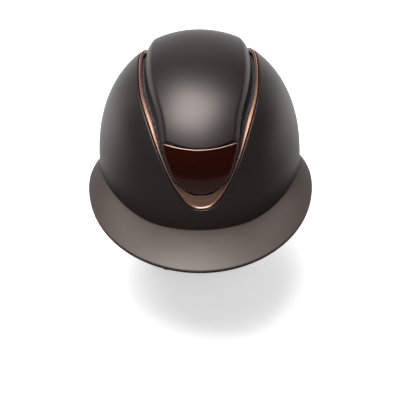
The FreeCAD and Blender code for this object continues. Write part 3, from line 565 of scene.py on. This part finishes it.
def plate_bow(along, side):
    share = (along - plate_start) / (plate_end - plate_start)
    return (1 - side * side) * (-1.0 * (1 - smooth(share * 3)) - 3.3 * smooth(share * 2 - 1))


plate_along, plate_full = rounded_ends(plate_start, plate_end, 70, 0.8)
plate_section = section([(2.6, -3.0), (2.3, -2.98), (2.0, -2.85), (1.0, -2.3), (0.3, -1.85), (0.0, -1.5),
                         (0.0, -1.1), (0.5, -0.95)], 61)
plate_middle = -2.0
plate_depth = plate_middle + (plate_section[:, 2] - plate_middle) * plate_full[:, None]
plate_rows = raised(plate_along[:, None], plate_section[:, 0], plate_section[:, 1], plate_depth, plate_bow)
plate = tube("brow_plate", plate_rows, pinched=True)
dress(plate, gloss, "dark_gloss", "helmet", "front_plate")

bead_count, bead_radius = 90, 0.5
bead_side = np.linspace(-0.965, 0.965, bead_count)
bead_line = raised(np.full(bead_count, plate_end - 0.1), bead_side, 0.3, -3.3, plate_bow)
bead_run = np.gradient(bead_line, axis=0)
bead_run /= np.linalg.norm(bead_run, axis=1)[:, None]
bead_out = bead_line / np.linalg.norm(bead_line, axis=1)[:, None]
bead_up = np.cross(bead_run, bead_out)
bead_round = np.linspace(0, 2 * np.pi, 12, endpoint=False)[None, :, None]
bead_full = np.sqrt(1 - np.linspace(-1, 1, bead_count)[:, None, None] ** 20) * bead_radius + 0.02
bead_ring = bead_up[:, None] * np.cos(bead_round) + bead_out[:, None] * np.sin(bead_round)
bead_rows = bead_line[:, None] + bead_ring * bead_full
bead = tube("plate_bead", bead_rows)
dress(bead, copper, "copper", "helmet")

# Peak: a stiff moulded visor in the shell's matte paint, bonded round the shell, with a dark
# rubbery lining below that shows as a fine line along its edge. Its paint is given lighter than
# the shell's, as painted light from the lamp above.
peak_end, peak_half, peak_rear, peak_middle = 88.5, 115.0, 115.0, 40.0
peak_pitch, back_per_pitch, peak_overhang = 5.8, 1.804, 47.5
peak_pull = peak_pitch * back_per_pitch
peak_reach = half_length + peak_overhang + peak_pull - peak_middle
root_level, root_rise_from, root_rise_over, root_sunk = -12.0, 22.0, 50.0, 0.6
edge_sweep, edge_drop_mid, edge_slope, peak_arch = 111.4, 21.5, 0.1, 2.0


def peak_point(turn, share, drop, margin):
    """Visor surface: straight from the shell to an elliptic edge, arched a little between."""
    turn, share, drop, margin = np.broadcast_arrays(turn, share, drop, margin)
    root_z = root_level * (1 - smooth((np.abs(turn) - root_rise_from) / root_rise_over)) - drop
    root = wall(turn, root_z, root_sunk)
    swing = np.radians(turn * edge_sweep / peak_end)
    reach = np.where(np.abs(swing) < np.pi / 2, peak_reach, peak_rear) + margin
    tip_y = -peak_middle - reach * np.cos(swing)
    dip = smooth(np.cos(swing))
    tip_z = edge_slope * (tip_y + peak_middle + peak_reach) - edge_drop_mid - peak_pitch * dip - drop
    tip = np.stack([(peak_half + margin) * np.sin(swing), tip_y + peak_pull * dip, tip_z], -1)
    point = root * (1 - share[..., None]) + tip * share[..., None]
    point[..., 2] += peak_arch * 4 * share * (1 - share) * np.cos(np.radians(turn))
    return point


def visor(name, top, thick, margin, finish, slot, *nodes):
    """Plate along the visor surface: out on top, round the edge in a half circle, and back below."""
    theta = np.linspace(np.pi / 2, -np.pi / 2, 9)
    inner = np.linspace(0, 0.985, 26)
    over, edge = np.ones(inner.size), margin - 0.9
    share = np.concatenate([inner, np.full(theta.size, 0.99), inner[::-1]])
    drop = np.concatenate([over * top, top + thick / 2 * (1 - np.sin(theta)), over * (top + thick)])
    out = np.concatenate([over * edge, edge + thick / 2 * np.cos(theta), over * edge])
    turn = peak_end * np.linspace(-1, 1, 240)
    made = tube(name, peak_point(turn[:, None], share, drop, out))
    dress(made, finish, slot, "helmet", *nodes)


# Painted light: the visor's brown is the shell's paint given lighter, to stand for the overhead light
# falling on it.
lit_peak_paint = matte_paint("peak_soft_paint_lit", linear(60, 52, 49), 0.46, 0.62)
visor("visor", 0.0, 2.3, 0.0, lit_peak_paint, "matte_brown", "peak")
lining_skin = Finish("lining_skin", Base_Color=linear(24, 22, 22), Roughness=0.7)
lining_grain = lining_skin.noise(lining_skin.place(), 1500, 4)
lining_skin.set(Roughness=lining_grain * 0.2 + 0.6)
lining_skin.bump(lining_grain, 0.35, 0.0003)
visor("visor_lining", 2.85, 0.9, 0.5, lining_skin, "lining", "peak_lining")

# Comfort pads: foam-filled knitted mesh, held on the liner by hook tape. They are blown up as
# cloth from a sewn edge, over a back that is fixed flat, then get a piped seam round the edge.
foam_inner, pad_back = 24.0, 25.6
knit = Finish("knitted_mesh", Roughness=0.85, Sheen_Weight=0.25, Sheen_Roughness=0.5)
knit_spot = knit.place()
knit_cells = knit.node("ShaderNodeTexVoronoi", {"feature": "F1"}, Vector=knit_spot, Scale=620,
                       Randomness=0.25)
knit_hole = knit.node("ShaderNodeMapRange", None, knit_cells, 0.18, 0.5)
knit_fuzz = knit.noise(knit_spot, 2400, 2)
knit.set(Base_Color=knit.mix(knit_hole, linear(26, 26, 27), linear(78, 76, 78)))
knit.bump(knit_hole * 0.8 + knit_fuzz * 0.2, 0.5, 0.0004)
piping_cloth = Finish("piping_cloth", Base_Color=linear(52, 47, 45), Roughness=0.8, Sheen_Weight=0.2)
piping_grain = piping_cloth.noise(piping_cloth.place(), 1800, 3)
piping_cloth.bump(piping_grain, 0.4, 0.0003)


def on_wall(turn, half, z, half_z):
    """Patch of the dome's side, for u and v from -1 to 1."""
    return lambda u, v, depth: wall(turn + half * u, z + half_z * v, depth)


def on_crown(x, half_x, angle, half_angle):
    return lambda u, v, depth: skin(x + half_x * v, angle + half_angle * u, depth)


soft_pieces = []


seam_height, swell_height = 0.32, 0.30
corner_inset, cord_radius, swell_cap = 3.5, 0.75, 0.42


def pillow(name, place, back, thick, long, wide, channels, finish, slot, body, *nodes, side=1):
    """Crowned pad over a patch, place(u, v, depth), with height ((1 - u^10)(1 - v^6))^0.5. Its corners
    are rounded, its back lies flat, and each channel is a sewn line across it. Then it swells."""
    u = np.sin(np.linspace(-1, 1, int(long / 2.2)) * np.pi / 2 * 0.9) / np.sin(np.pi / 2 * 0.9)
    v = np.sin(np.linspace(-1, 1, int(wide / 1.8)) * np.pi / 2 * 0.85) / np.sin(np.pi / 2 * 0.85)
    v = np.concatenate([v, v[::-1]])
    front = np.arange(v.size) >= v.size // 2
    u, v = np.meshgrid(u, v, indexing="ij")
    crown = ((1 - np.abs(u) ** 10) * (1 - np.abs(v) ** 6)) ** 0.5
    sewn = np.ones(u.shape)
    for line_u in channels:
        sewn = np.minimum(sewn, np.clip(np.abs(u - line_u) * long / 2 / 3.0, 0.25, 1))
    height = np.where(front, seam_height + swell_height * crown * sewn, seam_height * (1 - crown))
    corner_u = u * (1 - corner_inset / long * 2 * v ** 6)
    corner_v = v * (1 - corner_inset / wide * 2 * u ** 6)
    rows = place(corner_u, corner_v, back + thick * height) * (side, 1, 1)
    made = tube(name, rows, pinched=True)
    hold = made.vertex_groups.new(name="hold")
    rest = np.zeros(len(made.data.vertices) * 3)
    made.data.vertices.foreach_get("co", rest)
    rest = rest.reshape(-1, 3) * 1000 * (side, 1, 1)
    grid = (rows * (side, 1, 1)).reshape(-1, 3)
    near = np.array([np.argmin(((grid - point) ** 2).sum(1)) for point in rest])
    fixed = (~front)[None] | (crown < 0.35) | (sewn < 0.3)
    hold.add(np.flatnonzero(fixed.reshape(-1)[near]).tolist(), 1.0, "REPLACE")
    dress(made, finish, slot, body, *nodes)
    soft_pieces.append((made, rest.reshape(-1, 3) * (side, 1, 1) / 1000, thick * swell_cap / 1000))
    long_run, short_run = np.linspace(-1, 1, 60), np.linspace(-1, 1, 20)[1:-1]
    edge_u = np.concatenate([long_run, np.ones(18), long_run[::-1], -np.ones(18)])
    edge_v = np.concatenate([-np.ones(60), short_run, np.ones(60), short_run[::-1]])
    line = place(edge_u * (1 - corner_inset / long * 2 * edge_v ** 6),
                 edge_v * (1 - corner_inset / wide * 2 * edge_u ** 6),
                 back + thick * seam_height) * (side, 1, 1)
    run = np.roll(line, -1, 0) - np.roll(line, 1, 0)
    run /= np.linalg.norm(run, axis=1)[:, None]
    out = line / np.linalg.norm(line, axis=1)[:, None]
    away = np.cross(run, out)
    ring = np.linspace(0, 2 * np.pi, 10, endpoint=False)[None, :, None]
    cord_rows = line[:, None] + (away[:, None] * np.cos(ring) + out[:, None] * np.sin(ring)) * cord_radius
    piping = tube(name + "_piping", cord_rows, joined=True)
    dress(piping, piping_cloth, slot, body)


pad_finish = (knit, "pad_fabric", "helmet")
pillow("brow_cushion", on_wall(0, 56, 4, 13), pad_back, 6.0, 180, 26, (-0.62, -0.22, 0.22, 0.62),
       *pad_finish, "brow_pad")
pillow("nape_cushion", on_wall(180, 30, -12, 16), pad_back, 6.0, 100, 32, (-0.35, 0.35),
       *pad_finish, "nape_pad")
for side, word in ((1, "left"), (-1, "right")):
    pillow("side_cushion_" + word, on_wall(97, 17, 24, 14), pad_back, 6.0, 46, 28, (), *pad_finish,
           "side_pad_" + word, side=side)
    pillow("crown_cushion_" + word, on_crown(36, 12, 94, 30), pad_back, 5.0, 90, 24, (-0.3, 0.3),
           *pad_finish, "crown_pad_" + word, side=side)

# Chin pad and fit tray pad: leatherette with a soft grain, sewn all round. The chin pad lies on the
# buckle's socket, and the tray's pad on the inside of its housing.
hide = Finish("leatherette", Roughness=0.55)
hide_spot = hide.place()
hide_grain = hide.node("ShaderNodeTexVoronoi", {"feature": "DISTANCE_TO_EDGE"}, Vector=hide_spot,
                       Scale=900)
hide.set(Base_Color=hide.mix(hide.noise(hide_spot, 60, 3), linear(33, 29, 28), linear(48, 43, 41)))
hide.bump(hide_grain, 0.5, 0.0003)
divider_x, divider_y, divider_z, loop_z = 75.0, 10.0, -70.0, -141.0


def on_buckle(u, v, height):
    return np.stack(np.broadcast_arrays(-4 + 19 * u, divider_y + 14.5 * v, loop_z + 5.15 + height), -1)


pillow("chin_cushion", on_buckle, 0.0, 5.2, 38, 29, (), hide, "leatherette", "chin_loop", "chin_pad")
band_tilt = np.radians(27.0)
set_back = half_length - half_width - 5.5
band_side_gap, band_rear_gap = 7.8, 14.5
narrowing = math.sqrt(1 - (set_back / (half_length - foam_inner)) ** 2)
band_radius = (half_width - foam_inner) * narrowing - band_side_gap
band_centre_y, band_centre_z = half_length - foam_inner - band_rear_gap - band_radius, -24.0


def on_tray(u, v, depth):
    """Patch inside the tilted fit tray; depth counts inwards from the band."""
    radius = band_radius - depth
    x, y, z = radius * np.sin(np.radians(19 * u)), radius * np.cos(np.radians(19 * u)), 13 * v + 0 * depth
    return np.stack([x, band_centre_y + y * np.cos(band_tilt) + z * np.sin(band_tilt),
                     band_centre_z - y * np.sin(band_tilt) + z * np.cos(band_tilt)], -1)


pillow("tray_cushion", on_tray, 4.4, 3.7, 46, 26, (0.0,), hide, "pad_fabric", "helmet", "cradle_pad")

# Swelling: all the pads are blown up together as cloth with a little air pressure and no gravity,
# held at the back and the seams, and are then fixed as meshes.
swell_steps = 20
for piece, rest, cap in soft_pieces:
    cloth = piece.modifiers.new("swell", "CLOTH")
    cloth.settings.vertex_group_mass = "hold"
    cloth.settings.quality = 5
    cloth.settings.mass = 0.05
    cloth.settings.tension_stiffness = 25
    cloth.settings.compression_stiffness = 25
    cloth.settings.bending_stiffness = 0.05
    cloth.settings.use_pressure = True
    cloth.settings.uniform_pressure_force = 4
    cloth.settings.effector_weights.gravity = 0
    cloth.point_cache.frame_start = 1
    cloth.point_cache.frame_end = swell_steps
for step in range(swell_steps):
    bpy.context.scene.frame_set(step + 1)
swollen = bpy.context.evaluated_depsgraph_get()
for piece, rest, cap in soft_pieces:
    moved = np.zeros(rest.size)
    piece.evaluated_get(swollen).data.vertices.foreach_get("co", moved)
    shift = moved.reshape(-1, 3) - rest
    far = np.linalg.norm(shift, axis=1)[:, None]
    rest += shift * np.minimum(1, cap / np.maximum(far, 1e-9))
    print("swell", piece.name, round(float(far.max() * 1000), 2), "mm, at most", round(cap * 1000, 2))
for piece, rest, cap in soft_pieces:
    piece.modifiers.clear()
    piece.data.vertices.foreach_set("co", rest.ravel())
    piece.data.update()
bpy.context.scene.frame_set(1)
for piece, rest, cap in soft_pieces:
    finer = piece.modifiers.new("finer", "SUBSURF")
    finer.levels = finer.render_levels = 1

# Harness: woven polyester webbing, 19 mm wide. Four straps run from rivets inside the foam to the
# two dividers, and the chin strap hangs on an eye below each of them.
web_thick, web_half = 1.4, 9.5
weave = Finish("woven_webbing", Roughness=0.75, Sheen_Weight=0.15)
weave_uv = weave.node("ShaderNodeUVMap", {"uv_map": "UVMap"})
weave_x = weave.node("ShaderNodeSeparateXYZ", None, weave_uv, out=0)
weave_y = weave.node("ShaderNodeSeparateXYZ", None, weave_uv, out=1)
weave_zigzag = weave.node("ShaderNodeMath", {"operation": "PINGPONG"}, weave_x, 0.0024)
weave_rib = weave.node("ShaderNodeMath", {"operation": "SINE"}, (weave_y + weave_zigzag) * 5200)
weave_thread = weave.node("ShaderNodeMath", {"operation": "SINE"}, weave_x * 9000)
weave.set(Base_Color=weave.mix(weave_rib * 0.5 + 0.5, linear(20, 20, 21), linear(46, 45, 47)))
weave.bump(weave_rib * 0.6 + weave_thread * 0.25, 0.6, 0.0003)


def spline(points, count):
    """Natural cubic spline through points, sampled at even lengths."""
    points = np.array(points, float)
    n = len(points)
    step = np.linalg.norm(np.diff(points[:, :3], axis=0), axis=1)
    system = np.eye(n)
    rows = np.arange(1, n - 1)
    system[rows, rows] = 2 * (step[:-1] + step[1:])
    system[rows, rows - 1] = step[:-1]
    system[rows, rows + 1] = step[1:]
    slope = np.diff(points, axis=0) / step[:, None]
    side = np.zeros(points.shape)
    side[1:-1] = 6 * np.diff(slope, axis=0)
    second = np.linalg.solve(system, side)
    t = np.linspace(0, 1, 24, endpoint=False)[None, :, None]
    h = step[:, None, None]
    fine = (points[:-1, None] * (1 - t) + points[1:, None] * t
            + h * h / 6 * (((1 - t) ** 3 - (1 - t)) * second[:-1, None] + (t ** 3 - t) * second[1:, None]))
    fine = np.vstack([fine.reshape(-1, points.shape[1]), points[-1:]])
    run = np.concatenate([[0], np.cumsum(np.linalg.norm(np.diff(fine[:, :3], axis=0), axis=1))])
    even = np.linspace(0, run[-1], count)
    return np.stack([np.interp(even, run, fine[:, k]) for k in range(points.shape[1])], -1)


def webbing(name, path, finish=weave, thick=web_thick):
    """Flat strap along rows of (centre, width direction, half-width), with selvedges rounded over."""
    path = spline(path, 90)
    centre, across, half = path[:, :3], path[:, 3:6], path[:, 6:7]
    across /= np.linalg.norm(across, axis=1)[:, None]
    run = np.gradient(centre, axis=0)
    normal = np.cross(run, across)
    normal /= np.linalg.norm(normal, axis=1)[:, None]
    theta = np.linspace(0, 2 * np.pi, 48, endpoint=False)
    wide = np.sign(np.cos(theta)) * np.abs(np.cos(theta)) ** 0.45
    deep = np.sign(np.sin(theta)) * np.abs(np.sin(theta)) ** 0.55
    rows = (centre[:, None] + across[:, None] * (half * wide)[..., None]
            + normal[:, None] * (deep * thick / 2)[None, :, None])
    return tube(name, rows)


def strap_path(turn, top_z, end_y, side):
    """Down the inside of the foam, past the rim, then straight to the divider."""
    low = float(rim_height(turn)) + 6
    heights = top_z + 8 - (top_z + 8 - low) * np.arange(4) / 3
    down = wall(turn, heights, foam_inner + 1.5 + web_thick / 2)
    end = np.array([divider_x, end_y, divider_z + 13.35])
    share = (np.arange(1, 8) / 7)[:, None]
    points = np.vstack([down, down[-1] * (1 - share) + end * share])
    blend = smooth(np.arange(11) / 10)[:, None]
    flat = np.array([[math.cos(math.radians(turn)), math.sin(math.radians(turn)), 0]])
    level_out = np.array([[0, 1, 0]]) * blend + flat * (1 - blend)
    return np.hstack([points * (side, 1, 1), level_out * (side, 1, 1), web_half * (1 - 0.25 * blend)])


for side, word in ((1, "left"), (-1, "right")):
    for name, turn, top_z, end_y in (("front", 66.0, 6.0, 3.4), ("rear", 120.0, -4.0, 17.6)):
        strap = webbing(name + "_strap_" + word, strap_path(turn, top_z, end_y, side))
        dress(strap, weave, "webbing", "helmet", "strap_" + name + "_" + word)

swing_z, eye_x = -76.0, 70.6


def chin_path(end_x, side):
    """From the eye on the divider's rivet down and round to the buckle."""
    top = eye_x + 0.75
    points = [(top, swing_z + 3.0, 5.2), (top, swing_z - 4.5, 6.0), (top, swing_z - 9, 7.5)]
    points += [(top - x, swing_z - z, web_half) for x, z in ((0, 14), (0.4, 20), (1.5, 26))]
    reach = end_x * side
    for angle in np.linspace(0, np.pi / 2, 9)[1:]:
        x = reach + 12 + (top - 3.5 - reach - 12) * max(math.cos(angle), 0.0) ** 0.8
        points.append((x, swing_z - 33 - (swing_z - 33 - loop_z) * math.sin(angle) ** 1.1, web_half))
    points += [(reach + 6, loop_z, web_half), (reach, loop_z, web_half)]
    return np.array([(side * x, divider_y, z, 0, 1, 0, half) for x, z, half in points])


long_web = webbing("long_chin_web", chin_path(7.4, 1))
dress(long_web, weave, "webbing", "chin_loop", "chin_strap_long")
short_web = webbing("short_chin_web", chin_path(-34.0, -1))
dress(short_web, weave, "webbing", "chin_loop", "chin_strap_short")
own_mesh(short_web)

# Hard fittings keep their CAD shapes: moulded black nylon with a fine spark texture, the vents'
# black perforated steel, the foam's beads, the hook tape and one zinc-plated screw.
nylon = Finish("moulded_nylon", Specular_IOR_Level=0.5)
nylon_grain = nylon.noise(nylon.place(), 1500, 3)
nylon.set(Base_Color=linear(38, 37, 38), Roughness=nylon_grain * 0.15 + 0.38)
nylon.bump(nylon_grain, 0.25, 0.0002)
foam = Finish("bead_foam", Roughness=0.9, Specular_IOR_Level=0.3)
foam_spot, beads_per_metre = foam.place(), 330
foam_bead = foam.node("ShaderNodeTexVoronoi", {"feature": "F1"}, Vector=foam_spot, Scale=beads_per_metre)
foam_seam = foam.node("ShaderNodeTexVoronoi", {"feature": "DISTANCE_TO_EDGE"}, Vector=foam_spot,
                      Scale=beads_per_metre)
foam_line = foam.node("ShaderNodeMapRange", None, foam_seam, 0.0, 0.16)
foam.set(Base_Color=foam.mix(foam_line, linear(32, 32, 33), linear(66, 65, 67)))
foam.bump(foam_line * 0.6 - foam_bead * 0.5, 0.6, 0.0006)
perforated = Finish("perforated_steel", Metallic=0.6, Roughness=0.5)
hole_cells = perforated.node("ShaderNodeTexVoronoi", {"feature": "F1"}, Vector=perforated.place(), Scale=520,
                             Randomness=0.0)
hole = hole_cells < 0.34
perforated.set(Base_Color=perforated.mix(hole, linear(40, 38, 38), linear(3, 3, 3)))
perforated.bump(hole, 0.8, -0.0004)
hook = Finish("hook_tape", Base_Color=linear(22, 22, 23), Roughness=0.95)
hook.bump(hook.noise(hook.place(), 1600, 2, 0.7), 1.0, 0.0006)
zinc = Finish("zinc_screw", Base_Color=linear(178, 178, 180), Metallic=1.0)
zinc.set(Roughness=zinc.noise(zinc.place(), 900, 2) * 0.15 + 0.25)
finishes = {"foam": foam, "black_metal": perforated, "hook_tape": hook, "steel": zinc}
slots = {part["node"]: part["material_slot"] for part in frame["record"]["subparts"]}
for name, node in frame["nodes"].items():
    node.data.materials.clear()
    node.data.materials.append(finishes.get(slots[name], nylon).material)
